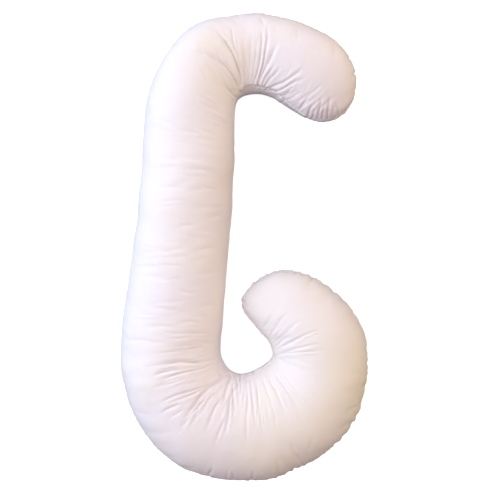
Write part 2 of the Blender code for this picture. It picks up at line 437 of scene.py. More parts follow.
# %% Creases of the foot bend
CREASES += [
    # fan from the foot bend towards the long back
    Crease(6.9, 3.3, [(-128, -353), (-168, -352), (-199, -352), (-227, -356), (-252, -364)]),
    Crease(3.5, 2.8, [(-211, -367), (-230, -369), (-252, -375)]),
    Crease(6.2, 3.2, [(-196, -375), (-227, -378), (-255, -384), (-280, -395)]),
    Crease(5.0, 3.0, [(-149, -375), (-196, -386), (-227, -395), (-258, -408)]),
    Crease(2.4, 5.1, [(-180, -397), (-236, -412), (-286, -434)]),
    Crease(5.0, 3.2, [(-118, -425), (-159, -439), (-205, -451), (-236, -465), (-264, -479)]),
    Crease(5.3, 3.0, [(-122, -431), (-153, -448), (-190, -463), (-230, -476)]),
    Crease(3.8, 2.8, [(-196, -480), (-224, -490), (-258, -508)]),
    Crease(2.4, 3.2, [(-187, -499), (-230, -524)]),
    Crease(7.7, 3.9, [(-53, -384), (-78, -409), (-109, -432), (-134, -456), (-153, -484),
                      (-174, -512), (-187, -527)]),
    Crease(6.7, 3.2, [(-118, -462), (-139, -487), (-149, -515), (-160, -552)]),
    Crease(4.5, 2.8, [(-159, -518), (-177, -533), (-196, -555)]),
    Crease(2.4, 2.8, [(-187, -555), (-202, -570)]),
    Crease(4.2, 3.0, [(-66, -456), (-84, -480), (-101, -515), (-115, -561)]),
    Crease(2.9, 3.7, [(-84, -440), (-109, -468), (-131, -505), (-143, -536)]),
    # fan under the foot bend
    Crease(6.4, 2.9, [(-39, -391), (-50, -418), (-58, -446), (-61, -477)]),
    Crease(6.9, 2.7, [(-42, -443), (-46, -484), (-49, -524), (-56, -570)]),
    Crease(4.8, 2.2, [(-35, -418), (-35, -450), (-32, -484), (-32, -518)]),
    Crease(4.2, 2.4, [(-25, -397), (-21, -415), (-16, -443), (-13, -480)]),
    Crease(3.5, 2.4, [(-11, -394), (-10, -422), (-7, -456)]),
    Crease(2.9, 2.9, [(9, -406), (12, -459), (9, -521), (9, -592)]),
    Crease(3.8, 2.4, [(18, -400), (24, -456), (30, -502), (37, -549)]),
    Crease(3.8, 2.4, [(37, -406), (43, -462), (49, -512), (60, -567)]),
    Crease(2.9, 2.5, [(52, -394), (71, -443), (92, -496)]),
    Crease(4.2, 2.5, [(68, -388), (83, -415), (102, -446), (114, -474), (131, -502)]),
    Crease(4.5, 2.5, [(92, -384), (114, -415), (139, -450), (171, -499)]),
    Crease(3.5, 2.9, [(-60, -527), (-77, -567), (-87, -604)]),
    Crease(2.4, 2.5, [(2, -412), (-1, -459), (-4, -499)]),
]
print("creases with the foot bend's:", len(CREASES))

# %% [markdown]
# ## Creases of the curl
# Past the bend the tube curls back up towards itself. The last ribs of the fan run out along
# it. The outside of the foot is stretched instead, and what marks it are short pulls at right
# angles to the seam, where a stitch holds the cloth back. One small tuck closes the top.

# %% Creases of the curl
CREASES += [
    # fan into the curl
    Crease(4.8, 2.4, [(92, -332), (123, -321), (154, -310), (192, -301), (232, -291)]),
    Crease(4.2, 2.1, [(120, -326), (161, -321), (204, -318), (244, -312)]),
    Crease(4.8, 2.4, [(102, -310), (133, -294), (173, -274), (204, -260), (235, -248)]),
    Crease(2.5, 2.2, [(182, -282), (207, -273), (235, -260)]),
    Crease(3.9, 2.2, [(92, -307), (108, -291), (123, -277), (139, -267)]),
    Crease(3.6, 2.4, [(95, -291), (123, -267), (148, -242), (182, -217)]),
    Crease(3.6, 2.4, [(80, -267), (99, -239), (114, -217), (136, -195)]),
    Crease(2.8, 2.4, [(58, -245), (71, -226), (86, -198)]),
    Crease(2.2, 2.2, [(95, -276), (105, -260), (117, -245)]),
    Crease(2.2, 2.2, [(68, -245), (89, -208), (111, -177)]),
    Crease(1.8, 2.4, [(102, -338), (136, -339), (173, -338)]),
    Crease(1.8, 3.3, [(111, -356), (161, -369), (207, -394), (241, -422)]),
    Crease(2.1, 3.0, [(102, -369), (136, -394), (164, -428)]),
    # pulls at the outside of the foot
    Crease(3.1, 4.2, [(181, -668), (166, -645), (152, -620), (146, -600)]),
    Crease(2.2, 2.8, [(200, -622), (210, -592), (221, -572)]),
    Crease(2.1, 4.0, [(140, -684), (131, -661), (122, -636)]),
    Crease(2.0, 4.0, [(106, -696), (104, -672), (104, -648)]),
    Crease(3.1, 4.0, [(350, -488), (330, -500), (312, -520)]),
    Crease(2.5, 4.0, [(334, -539), (316, -548), (300, -570)]),
    Crease(3.1, 2.4, [(-31, -714), (-33, -702), (-38, -688)]),
    Crease(2.2, 2.2, [(-56, -711), (-54, -700), (-50, -688)]),
    Crease(2.5, 2.2, [(26, -716), (27, -702), (30, -688)]),
    Crease(2.8, 2.6, [(-112, -704), (-106, -692), (-98, -680)]),
    Crease(3.5, 2.4, [(-184, -672), (-172, -679), (-160, -684)]),
    # tuck at the top of the curl
    Crease(3.6, 3.4, [(213, -92), (207, -101), (199, -110)]),
]
print("creases:", len(CREASES))

# %% [markdown]
# ## Fine folds and ripples
# Between the large creases lie many weak ones. Inside the bends they run from the inner seam
# towards the outer one, like the ribs of a fan. Along the straight back they are only faint
# ripples across the tube, left by the pull of the filling. They are too many to place one
# by one, so they are drawn at random within the strips where they lie. A strip runs from one
# row of the table of sections to another; start and length are shares of the way from the
# inner seam to the outer one, and turn is how many rows further on a fold ends.

# %% Fine folds drawn at random
FineFolds = namedtuple("FineFolds", "count row_low row_high turn start length depth width")
FINE_FOLDS = [
    FineFolds(34, 2.0, 10.5, 0.0, (0.03, 0.40), (0.10, 0.34), (0.7, 2.1), (1.8, 3.4)),
    FineFolds(56, 19.5, 32.5, 0.0, (0.03, 0.42), (0.10, 0.32), (0.7, 2.2), (1.8, 3.2)),
    FineFolds(26, 32.5, 38.0, 1.0, (0.05, 0.40), (0.10, 0.26), (0.7, 1.7), (1.8, 3.0)),
    FineFolds(90, 10.5, 21.0, 0.0, (0.05, 0.70), (0.12, 0.40), (0.8, 2.2), (2.6, 5.5)),
]
BOW = 3.0                    # how far the middle of a fold strays, in millimetres
STRAY_TURN = 0.12            # and how far its end does, in rows


def across(row, share):
    """A place in plan on the way from the inner seam to the outer one."""
    seams = np.array([[s.inner_x, s.inner_y, s.outer_x, s.outer_y] for s in SECTIONS], float)
    place = spline(np.arange(len(SECTIONS)), seams, np.array([row]))[0]
    return place[:2] + (place[2:] - place[:2]) * share


def fine_folds():
    made = []
    for zone in FINE_FOLDS:
        for _ in range(zone.count):
            row = chance.uniform(zone.row_low, zone.row_high)
            start = chance.uniform(*zone.start)
            end = start + chance.uniform(*zone.length)
            turn = zone.turn + chance.normal(0.0, STRAY_TURN)
            middle = across(row + turn / 2, (start + end) / 2) + chance.normal(0.0, BOW, size=2)
            line = [across(row, start), middle, across(row + turn, end)]
            made.append(Crease(chance.uniform(*zone.depth), chance.uniform(*zone.width), line))
    return made


fine = fine_folds()
print("fine folds:", len(fine))

# %% [markdown]
# ## Lines on the plan
# A crease is given by a few points, and a smooth curve through them bends as cloth
# does. For every point of the pillow we then ask two things of a line: how far away is it,
# and how far along it is the nearest place. The whole form of a crease follows from those.

# %% Lines on the plan
LINE_STEP = 6.0


def smooth_line(line):
    line = np.array(line, float)
    places = length_along(line)
    at = np.linspace(0.0, places[-1], max(3, int(places[-1] / LINE_STEP) + 2))
    return spline(places, line, at)


def beside_line(line, x, y):
    """Signed distance of points from a line, and how far along it they lie, from 0 to 1."""
    start, leg = line[:-1], np.diff(line, axis=0)
    run = (leg**2).sum(axis=1)
    dx, dy = x[:, None] - start[:, 0], y[:, None] - start[:, 1]
    t = np.clip((dx * leg[:, 0] + dy * leg[:, 1]) / run, 0.0, 1.0)
    off_x, off_y = dx - t * leg[:, 0], dy - t * leg[:, 1]
    distance = np.hypot(off_x, off_y)
    best = distance.argmin(axis=1)
    rows = np.arange(len(x))
    side = np.sign(leg[best, 0] * off_y[rows, best] - leg[best, 1] * off_x[rows, best])
    return distance[rows, best] * side, (best + t[rows, best]) / len(leg)


def ease(low, high, value):
    """0 below low, 1 above high, and a smooth rise between them."""
    t = np.clip((value - low) / (high - low), 0.0, 1.0)
    return t * t * (3 - 2 * t)


first_line = smooth_line(CREASES[0].line)
print("first crease:", len(CREASES[0].line), "points become", len(first_line), "along",
      round(length_along(first_line)[-1]), "mm")

# %% [markdown]
# ## The form of one crease
# Where cloth is pushed together it swells on both sides of a line and touches in the middle,
# so across a crease there are two rounded shoulders that meet in a narrow cleft, and not a
# carved groove. Each shoulder here is a quarter of an ellipse. Along the line the cleft
# deepens quickly from the seam and dies away on the crown. Where creases meet, the deeper
# one wins, which leaves the fold between two neighbours round.

# %% The form of one crease
MEETING = 4.0                # how firmly the deeper of two creases wins
SHOULDER = 2.9               # reach of a shoulder, in widths
FARTHEST = 8                 # no part of a crease lies further from its line, in widths
CLEFT = 0.45                 # rounding at the bottom of the cleft, in widths
LIP_SHARE = 0.14
LIP_PLACE = 3.2
LIP_WIDTH = 1.8
LEAN = 0.2                   # how much steeper one flank is, by turns on either side
ROOT_WIDTH = 0.75            # width where it starts
WIDENING = 0.4               # and how much wider it is at its end
DEEPENING = 0.22             # share of its length over which it reaches its depth
ROOT_REACH = 45.0            # a crease that starts this near the seam grows out of it
FADE = 5                     # a crease keeps its depth, then dies away towards its end
ROOTED = 0.6                 # share of its depth that such a crease has at its start


def gap_to_seam(place):
    lines = np.concatenate([points[:, 0, :2], points[:, INNER_SEAM, :2]])
    return np.hypot(*(lines - place).T).min()


def press(creases, x, y, share):
    """Height of the cloth after pressing the creases in, at the plan places x, y."""
    shape = x.shape
    x, y, share = x.ravel(), y.ravel(), share.ravel()
    valley, lips = np.zeros(len(x)), np.zeros(len(x))
    for number, crease in enumerate(creases):
        line = smooth_line(crease.line)
        reach = crease.width * FARTHEST
        near = np.flatnonzero(
            (x > line[:, 0].min() - reach) & (x < line[:, 0].max() + reach)
            & (y > line[:, 1].min() - reach) & (y < line[:, 1].max() + reach))
        distance, along = beside_line(line, x[near], y[near])
        lean = LEAN if number % 2 else -LEAN
        width = crease.width * (ROOT_WIDTH + WIDENING * along)
        away = np.hypot(distance / width * (1 + lean * np.sign(distance)), CLEFT) - CLEFT
        shoulder = 1 - np.sqrt(1 - (1 - np.minimum(away / SHOULDER, 1.0)) ** 2)
        rooted = ROOTED if gap_to_seam(crease.line[0]) < ROOT_REACH else 0.0
        start = rooted + (1 - rooted) * ease(0.0, DEEPENING, along)
        depth = crease.depth * start * (1 - along**FADE)
        valley[near] += (depth * shoulder) ** MEETING
        lips[near] += depth * LIP_SHARE * np.exp(-(((away - LIP_PLACE) / LIP_WIDTH) ** 2))
    height = lips - valley ** (1 / MEETING)
    return (height * share).reshape(shape)


print("a crease reaches", SHOULDER, "of its widths to either side")

# %% [markdown]
# ## Press them in
# A high point looks further out than a low one to an eye over the pillow, so the front's
# creases are laid out on the plan as that eye sees it. The back panel takes the same creases
# where the folds run through the bend, only shallower, and straight up from the floor. The
# many fine folds are kept apart: they go in after the filling, which would iron them out.

# %% Press the creases
BACK_SHARE = 0.7             # the back panel's creases are shallower
TURNING = (-0.15, 0.25)      # slopes between which the back gives way to the front


def seen_from_above(points):
    """Where each point seems to lie at the seam's height, for an eye over the pillow."""
    scale = (EYE[2] - SEAM_HEIGHT) / (EYE[2] - points[..., 2:])
    return EYE[:2] + (points[..., :2] - EYE[:2]) * scale


def press_both_panels(creases):
    front = press(creases, seen[..., 0], seen[..., 1], facing_up)
    back = press(creases, points[..., 0], points[..., 1], (1 - facing_up) * BACK_SHARE)
    return front, back


outward = out_of_cloth(points)
facing_up = ease(*TURNING, outward[..., 2])
seen = seen_from_above(points)
front_creases, back_creases = press_both_panels(CREASES)
fine_relief = sum(press_both_panels(fine))
print("creases: deepest", round(front_creases.min(), 1), "mm, highest lip",
      round(front_creases.max(), 1), "mm")

# %% [markdown]
# ## Puckers along the seam
# Where a panel's edge is longer than the line it is sewn to, the machine eases the spare
# cloth in as small gathers, and the edge of the pillow gets its scallops. They bite deepest
# at the seam and are gone three or four centimetres away. The largest are placed one by one,
# in millimetres of the plan, and close together round the two ends and outside the foot.

# %% Table of puckers
Pucker = namedtuple("Pucker", "x y width depth reach")
PUCKERS = [
    Pucker(343, 542, 4.5, 3.2, 26),
    Pucker(348, 492, 4, 2.4, 24),
    Pucker(333, 450, 4, 2.4, 24),
    Pucker(297, 406, 4, 2.4, 24),
    Pucker(-2, -166, 4, 3.2, 24),
    Pucker(8, -138, 5, 4.0, 22),
    Pucker(24, -118, 5, 4.6, 24),
    Pucker(43, -100, 5, 4.2, 22),
    Pucker(64, -92, 4.5, 3.6, 20),
    Pucker(84, -86, 5, 4.6, 24),
    Pucker(109, -80, 4.5, 3.8, 22),
    Pucker(133, -76, 5, 4.4, 22),
    Pucker(157, -78, 4.5, 3.6, 20),
    Pucker(183, -84, 5, 4.2, 22),
    Pucker(211, -92, 4.5, 4.5, 20),
    Pucker(243, -112, 4.5, 3.4, 22),
    Pucker(272, -140, 4.5, 3.4, 24),
    Pucker(303, -165, 4.5, 3.0, 24),
    Pucker(334, -202, 4, 2.4, 24),
    Pucker(356, -233, 4, 2.4, 24),
    Pucker(372, -306, 4.5, 2.4, 24),
    Pucker(376, -350, 4, 2.4, 24),
    Pucker(370, -422, 4.5, 3.2, 26),
    Pucker(365, -474, 4.5, 3.2, 26),
    Pucker(343, -508, 4, 3.2, 24),
    Pucker(336, -536, 4.5, 3.2, 26),
    Pucker(309, -577, 4.5, 3.2, 26),
    Pucker(288, -601, 4.5, 3.2, 26),
    Pucker(160, -682, 4.5, 3.2, 26),
    Pucker(139, -691, 4, 2.4, 24),
    Pucker(24, -722, 4.5, 2.4, 24),
    Pucker(-35, -719, 4, 2.4, 24),
    Pucker(-112, -707, 4.5, 3.2, 24),
    Pucker(-157, -690, 4.5, 3.2, 24),
]
print("puckers placed one by one:", len(PUCKERS))

# %% [markdown]
# ## The form of one pucker
# A pucker is a short crease that is sharp at the seam and opens as it fades: a valley with a
# soft lip on either side. The valley is one over a hyperbolic cosine, which is round at the
# bottom and has long, even flanks.

# %% The form of one pucker
PUCKER_LIP = 0.4             # height of the lip, in depths of the valley
LIP_AWAY = 2.3               # where the lip stands, in widths from the valley
OPENING = 0.6                # how much wider the pucker is where it fades
BESIDE = 7                   # no part of it lies further to the side, in widths


def bite(height, run, away, place, width, depth, reach):
    """Adds one pucker to the height of the cloth, along run and fading with away."""
    rows = np.flatnonzero(np.abs(run - place) < width * BESIDE)
    if len(rows) == 0:
        return
    inward = away[rows]
    opened = width * (1 + OPENING * inward / reach)
    off = np.abs(run[rows] - place)[:, None] / opened
    fade = np.exp(-((inward / reach) ** 2))
    form = PUCKER_LIP * np.exp(-((off - LIP_AWAY) ** 2)) - 1 / np.cosh(off)
    height[rows] += depth * form * fade


print("a pucker opens to", 1 + OPENING, "of its width where it fades")

# %% [markdown]
# ## Gather the seam
# Between the large puckers the needle leaves small ones, one every centimetre or two. They
# are drawn at random along both sides of the tube, and are four times weaker along the
# straight back, where neither panel had any cloth to spare.

# %% Gather the seam
FINE_PITCH = (9.0, 21.0)
FINE_DEPTH = (0.6, 2.9)
FINE_WIDTH = (2.4, 4.4)
FINE_REACH = (9.0, 24.0)
STRAIGHT_SAVING = 0.75       # how much weaker the gathers are along the straight back
STRAIGHT_FROM = (-420.0, -300.0)    # where the back begins to run straight, in Y
STRAIGHT_TO = (380.0, 520.0)        # and where it begins to turn into the hook
SHORTEST = 0.6               # share of its reach that the weakest gather keeps


def gathered(x, y):
    """How much spare cloth the seam takes up at a place of the plan, from 0 to 1."""
    if x > 0:
        return 1.0
    straight = ease(*STRAIGHT_FROM, y) * (1 - ease(*STRAIGHT_TO, y))
    return 1.0 - STRAIGHT_SAVING * straight


def gather(points):
    """Height of the cloth after all puckers, large and small, have been sewn in."""
    height = np.zeros(points.shape[:2])
    seams = [
        (outer_run, from_outer, points[:, 0]),
        (inner_run, from_inner, points[:, INNER_SEAM]),
    ]
    for pucker in PUCKERS:
        gaps = [np.hypot(line[:, 0] - pucker.x, line[:, 1] - pucker.y) for _, _, line in seams]
        run, away, _ = seams[0] if gaps[0].min() < gaps[1].min() else seams[1]
        place = run[min(gaps, key=np.min).argmin()]
        bite(height, run, away, place, pucker.width, pucker.depth, pucker.reach)
    for run, away, line in seams:
        place = 0.0
        while place < run[-1]:
            ring = np.searchsorted(run, place)
            x, y = line[min(ring, len(line) - 1), :2]
            share = gathered(x, y)
            depth = chance.uniform(*FINE_DEPTH) * share
            bite(height, run, away, place, chance.uniform(*FINE_WIDTH), depth,
                 chance.uniform(*FINE_REACH) * (SHORTEST + (1 - SHORTEST) * share))
            place += chance.uniform(*FINE_PITCH)
    return height


puckers = gather(points)
print("puckers: deepest", round(puckers.min(), 1), "mm")

# %% [markdown]
# ## Cut and sew: the cloth before it is filled
# Lumps, creases and puckers are added up into one height for every point, and each point is
# pushed by its height square to the cloth. What would press the back panel through the floor
# is held at the floor. At the two tips the height fades out, because all lines meet there.
# This is the form that goes into the simulation.

# %% Press the relief into the tube
TIP_FADE = 20.0              # from this far away the tips draw the height down to nothing
tip_fade = ease(0.0, TIP_FADE, np.minimum(outer_run, outer_run[-1] - outer_run))[:, None]


def pushed(points, height):
    moved = points + outward * (height * tip_fade)[..., None]
    moved[..., 2] = np.maximum(moved[..., 2], 0.0)
    return moved


relief = lump + front_creases + back_creases + puckers
creased = pushed(points, relief)
print("creased tube:", np.round(np.ptp(creased.reshape(-1, 3), axis=0)), "mm")

# %% [markdown]
# ## Cloth out of a grid
# The points lie in a grid of rings, so the faces follow from counting: four-sided ones between
# neighbouring rings, and a fan of triangles that closes each tip. The simulation and the
# finished cover both need such a mesh, and the way back from a mesh to the grid.

# %% Cloth out of a grid
def grid_faces(ring_count, around):
    """Faces of a closed tube: quads between rings, and a fan of triangles at each tip.
    Vertex 0 is the first tip, then come the rings, and the other tip is last."""
    ring, turn = np.meshgrid(np.arange(ring_count - 1), np.arange(around), indexing="ij")
    here, beside = 1 + ring * around, (turn + 1) % around
    there = here + around
    quads = np.stack([here + turn, there + turn, there + beside, here + beside], axis=-1)
    turns = np.arange(around)
    after = (turns + 1) % around
    last = 1 + (ring_count - 1) * around
    first_fan = np.stack([np.zeros(around, int), 1 + turns, 1 + after], axis=-1)
    last_fan = np.stack([np.full(around, last + around), last + after, last + turns], axis=-1)
    return quads.reshape(-1, 4).tolist() + first_fan.tolist() + last_fan.tolist()


def tube_mesh(name, grid):
    mesh = bpy.data.meshes.new(name)
    places = np.concatenate([tips[:1], grid.reshape(-1, 3), tips[1:]]) * MM
    mesh.from_pydata(places.tolist(), [], grid_faces(*grid.shape[:2]))
    mesh.update()
    return mesh


def mesh_grid(mesh, shape):
    flat = np.zeros(len(mesh.vertices) * 3)
    mesh.vertices.foreach_get("co", flat)
    return flat.reshape(-1, 3)[1:-1].reshape(shape) / MM


print("faces of the whole grid:", len(grid_faces(*points.shape[:2])))

# %% [markdown]
# ## Fill it: a cloth simulation with pressure
# Now the filling goes in. Blender's cloth takes the creased tube as a balloon: pressure
# pushes it out, the springs of the cloth hold it back, and the seam is pinned where it was
# sewn. Its rest shape is the same tube with deeper creases, so it has cloth to spare there
# and keeps its folds while everything between them swells. Fibre has no weight worth counting
# and the pillow already lies on the floor, so gravity is left out.

# %% One simulation
FRAMES = 20
PRESSURE = 4.0
QUALITY = 6                  # steps of the solver in each frame


def simulate(start, rest, held):
    """The grid of points after the filling has pressed the cloth out."""
    cloth = bpy.data.objects.new("filling_cloth", tube_mesh("filling_cloth", start))
    bpy.context.collection.objects.link(cloth)
    cloth.shape_key_add(name="start")
    cut = cloth.shape_key_add(name="cut")
    flat = np.concatenate([tips[:1], rest.reshape(-1, 3), tips[1:]]) * MM
    cut.data.foreach_set("co", flat.ravel())
    pins = cloth.vertex_groups.new(name="sewn")
    pins.add([0, len(flat) - 1] + (1 + np.flatnonzero(held.ravel())).tolist(), 1.0, "REPLACE")
    modifier = cloth.modifiers.new("filling", "CLOTH")
    settings = modifier.settings
    settings.quality = QUALITY
    settings.rest_shape_key = cut
    settings.vertex_group_mass = "sewn"
    settings.use_pressure = True
    settings.uniform_pressure_force = PRESSURE
    settings.effector_weights.gravity = 0.0
    modifier.point_cache.frame_end = FRAMES
    for frame_number in range(1, FRAMES + 1):
        bpy.context.scene.frame_set(frame_number)
    seen_cloth = cloth.evaluated_get(bpy.context.evaluated_depsgraph_get())
    settled = mesh_grid(seen_cloth.data, start.shape)
    bpy.data.objects.remove(cloth)
    bpy.context.scene.frame_set(1)
    return settled


print("a simulation runs", FRAMES, "frames")

# %% [markdown]
# ## Let it settle
# Every other ring and point is enough for the swell, which is broad and soft, and makes the
# run four times shorter. What comes back is how far each point moved. That is read at the
# points in between by the same smooth curve as before and added to the full grid, so the fine
# creases keep their edges. No point may travel further than a cap, whatever the springs do.

# %% Let it settle
EVERY = 2                    # every other ring and point goes into the simulation
SPARE_CLOTH = 1.5            # how much deeper the creases are in the rest shape
TRAVEL_CAP = 25.0            # no point travels further than this
SEWN_WIDTH = 4.0             # cloth this near the seam is held by it
RESTING = 2.0                # cloth this low lies on the floor and is held there


def between(values, count, axis):
    """Reads a coarse grid at every point of the fine one, along one axis."""
    places = np.arange(values.shape[axis]) * float(EVERY)
    moved = np.moveaxis(values, axis, 0)
    shape = moved.shape[1:]
    read = spline(places, moved.reshape(len(places), -1), np.arange(count, dtype=float))
    return np.moveaxis(read.reshape(count, *shape), 0, axis)


def settle(points, relief):
    start = pushed(points, relief)[::EVERY, ::EVERY]
    rest = pushed(points, relief * SPARE_CLOTH)[::EVERY, ::EVERY]
    near_seam = (from_seam < SEWN_WIDTH)[::EVERY, ::EVERY]
    on_floor = start[..., 2] < RESTING
    shift = simulate(start, rest, near_seam | on_floor) - start
    travel = np.linalg.norm(shift, axis=2, keepdims=True)
    shift *= TRAVEL_CAP / np.maximum(travel, TRAVEL_CAP)
    print("filling: moved", round(travel.mean(), 1), "mm on average, at most",
          round(travel.max(), 1))
    wrapped = np.concatenate([shift, shift[:, :1]], axis=1)
    shift = between(between(wrapped, points.shape[0], 0), points.shape[1], 1)
    return pushed(points, relief) + shift


began = time.time()
creased = settle(points, relief)
creased[..., 2] = np.maximum(creased[..., 2], 0.0)
outward = out_of_cloth(creased)
print("filling: took", round(time.time() - began), "s")

# %% [markdown]
# ## The groove of the seam
# A turned seam is a narrow groove with a soft lip on either side, because the two panels
# bulge up from the stitches that hold them down. Two bell curves of the distance from the
# seam draw it: a deep narrow one down, and a low wide one up beside it.

# %% Groove of the seam
GROOVE_DEPTH = 4.2
GROOVE_WIDTH = 2.8
EDGE_HEIGHT = 1.0
EDGE_PLACE = 7.0             # how far the soft edge stands from the seam
EDGE_WIDTH = 3.5

groove = (
    EDGE_HEIGHT * np.exp(-(((from_seam - EDGE_PLACE) / EDGE_WIDTH) ** 2))
    - GROOVE_DEPTH * np.exp(-((from_seam / GROOVE_WIDTH) ** 2))
)
print("groove: from", round(groove.min(), 1), "to", round(groove.max(), 1), "mm")

# %% [markdown]
# ## The lip inside the hook
# In the crook of the hook the front panel is gathered so tightly that it bulges out over the
# seam, and the back panel is drawn in below. From above that is a thin dark band under a
# ragged edge. The edge wanders because each gather pushes it out a little more or less.

# %% The lip inside the hook
OVERHANG = 6.0               # how far the front panel hangs over the seam inside the hook
OVERHANG_REACH = 22.0
LIP_ROUNDING = 16.0          # cloth over which the front panel turns down to the seam
TUCK = 3.0                   # how far the back panel is drawn in below it
TUCK_REACH = 30.0
TUCK_ROUNDING = 6.0          # cloth over which it turns in
RAGGED = 2.5                 # how far its edge wanders
RAGGED_PITCH = 9.0
RAGGED_SHARE = 0.35          # and how much its fullness varies
OVERHANG_ROWS = (4.0, 6.0, 8.5, 11.0)
OUTER_STRIP = 0.2            # share of the girth beside the outer seam that is left alone


def overhang():
    """Height that the front panel gains and the back panel loses beside the hook's seam."""
    knots = np.arange(0.0, inner_run[-1], RAGGED_PITCH)
    ragged = np.interp(inner_run, knots, chance.uniform(-1.0, 1.0, len(knots)))
    share = np.interp(ring_rows[1:-1], OVERHANG_ROWS, (0.0, 1.0, 1.0, 0.0))
    share, ragged = (share * (1 + RAGGED_SHARE * ragged))[:, None], ragged[:, None]
    seam_at = round_length[:, INNER_SEAM, None] - seam_lift("inner")
    above = seam_at - round_length + RAGGED * ragged
    front = OVERHANG * ease(0.0, LIP_ROUNDING, above) * np.exp(-above / OVERHANG_REACH)
    back = TUCK * ease(0.0, TUCK_ROUNDING, -above) * np.exp(above / TUCK_REACH)
    return share * np.where(above > 0, front, -back) * (from_outer > girth * OUTER_STRIP)


lip = overhang()
print("lip: from", round(lip.min(), 1), "to", round(lip.max(), 1), "mm")

# %% [markdown]
# ## The finished surface
# The fine folds, the groove and the lip go into the filled form last, because a simulation on
# every other point would round them away. Then the middle of the footprint is measured, since
# the pillow is to lie with it on the origin.

# %% The finished surface
finished = pushed(creased, fine_relief + groove + lip)
low = finished.reshape(-1, 3).min(axis=0)
high = finished.reshape(-1, 3).max(axis=0)
middle = np.array([*((low + high) / 2)[:2], 0.0])
print("cloth:", np.round(high - low), "mm, middle", np.round(middle, 1))

# %% [markdown]
# ## Panels as they were cut
# Thread runs straight in the bolt, not round the bends of the finished pillow. So each point
# gets a second pair of coordinates, in metres: where it lay on the flat cut panel. A row of
# points starts at the inner seam and goes straight out by the true length of the cloth, and
# threads drawn on these coordinates run as they do in a real panel.

# %% Panels as they were cut
PANEL_GAP = 900.0            # the back panel is cut this far beside the front one


def flat_panel(strip):
    """Where the points of one panel lay when it was flat, from its inner seam outwards."""
    inner, outer = strip[:, :1, :2], strip[:, -1:, :2]
    direction = (outer - inner) / np.linalg.norm(outer - inner, axis=2, keepdims=True)
    legs = np.linalg.norm(np.diff(strip, axis=1, prepend=strip[:, :1]), axis=2)
    return inner + direction * np.cumsum(legs, axis=1)[..., None]


def lay_flat(mesh, points):
    """Adds the flat coordinates, corner by corner in the order in which the faces were made."""
    closed = np.concatenate([points, points[:, :1]], axis=1)
    front = flat_panel(closed[:, FRONT_POINTS::-1])[:, ::-1]
    back = flat_panel(closed[:, FRONT_POINTS:]) + PANEL_GAP
    left = np.concatenate([front[:, :-1], back[:, :-1]], axis=1)
    right = np.concatenate([front[:, 1:], back[:, 1:]], axis=1)
    quads = np.stack([left[:-1], left[1:], right[1:], right[:-1]], axis=2)
    first_fan = np.stack([left[0], left[0], right[0]], axis=1)
    last_fan = np.stack([left[-1], right[-1], left[-1]], axis=1)
    corners = np.concatenate([part.reshape(-1, 2) for part in (quads, first_fan, last_fan)])
    mesh.uv_layers.new(name="cut").data.foreach_set("uv", (corners * MM).ravel())


print("panels: the back one lies", PANEL_GAP, "mm beside the front one")

# %% [markdown]
# ## The cover
# On the real pillow the cover is two panels and a seam. It could be built as two meshes that
# meet at the seam, but they would show a hair of daylight between them somewhere. One closed
# mesh can't, and the groove draws the seam well enough. Smooth shading lets its small flat
# faces pass for one cloth.

# %% Build the cover
cover_mesh = tube_mesh("pillow_cover", finished)
cover_mesh.shade_smooth()
lay_flat(cover_mesh, finished)
cover = bpy.data.objects.new("pillow_cover", cover_mesh)
cover.location = -middle * MM
bpy.context.collection.objects.link(cover)
print("cover:", len(cover_mesh.polygons), "faces")

# %% [markdown]
# ## White cotton sateen
# Sateen shows long floats of the warp that skip over the weft in a slow diagonal, which gives
# it a soft gleam and almost no grain. From a metre away the weave itself is too fine to see.
# What the eye catches is that no two places are quite the same: the yarn is a little thicker
# here and there, the cloth keeps small crinkles from washing, and white is never one white.
# A flat image of cloth could be wrapped round the pillow, but it would show seams of its own
# and blur close up. Nodes that work the pattern out stay sharp at any distance.

# %% Nodes for the cloth
material = bpy.data.materials.new("white_sateen")
material.use_nodes = True
cloth_tree = material.node_tree
shader = cloth_tree.nodes["Principled BSDF"]


def plug(made, sockets):
    """Gives each named socket of a node its value, or wires it to another node's output."""
    for name, value in sockets.items():
        if isinstance(value, bpy.types.NodeSocket):
            made.id_data.links.new(value, made.inputs[name])
        else:
            made.inputs[name].default_value = value


def node(kind, sockets, tree=cloth_tree, **settings):
    """A new node in the tree, with its settings chosen before its sockets are plugged."""
    made = tree.nodes.new(kind)
    for name, value in settings.items():
        setattr(made, name, value)
    plug(made, sockets)
    return made


cut = node("ShaderNodeUVMap", {}, uv_map="cut").outputs["UV"]
body = node("ShaderNodeTexCoord", {}).outputs["Object"]
print("cloth material:", material.name)

# %% [markdown]
# ## Waves, spots and bumps
# Five small helpers cover everything that follows: sums, random waves of a given size, a way
# to spread them over a range of values, a soft round spot, and a bump that can rest on
# another. Each of them is one or two nodes, and hands on the output of the last.

# %% Waves, spots and bumps
NOISE_SPREAD = (0.3, 0.7)    # noise hardly ever leaves this range


def arithmetic(operation, first, second):
    return node("ShaderNodeMath", {0: first, 1: second}, operation=operation).outputs[0]


def noise(place, size, detail, stretch=(1.0, 1.0, 1.0), roughness=0.5):
    """Random waves of the given size in metres; stretch makes them long along an axis."""
    scale = [1.0 / (size * long) for long in stretch]
    scaled = node("ShaderNodeMapping", {"Vector": place, "Scale": scale}).outputs["Vector"]
    sockets = {"Vector": scaled, "Scale": 1.0, "Detail": detail, "Roughness": roughness}
    return node("ShaderNodeTexNoise", sockets).outputs["Fac"]


def spread(value, low, high):
    """Maps noise, which stays near a half, onto the range from low to high."""
    sockets = {"Value": value, "To Min": low, "To Max": high}
    sockets["From Min"], sockets["From Max"] = NOISE_SPREAD
    return node("ShaderNodeMapRange", sockets).outputs["Result"]


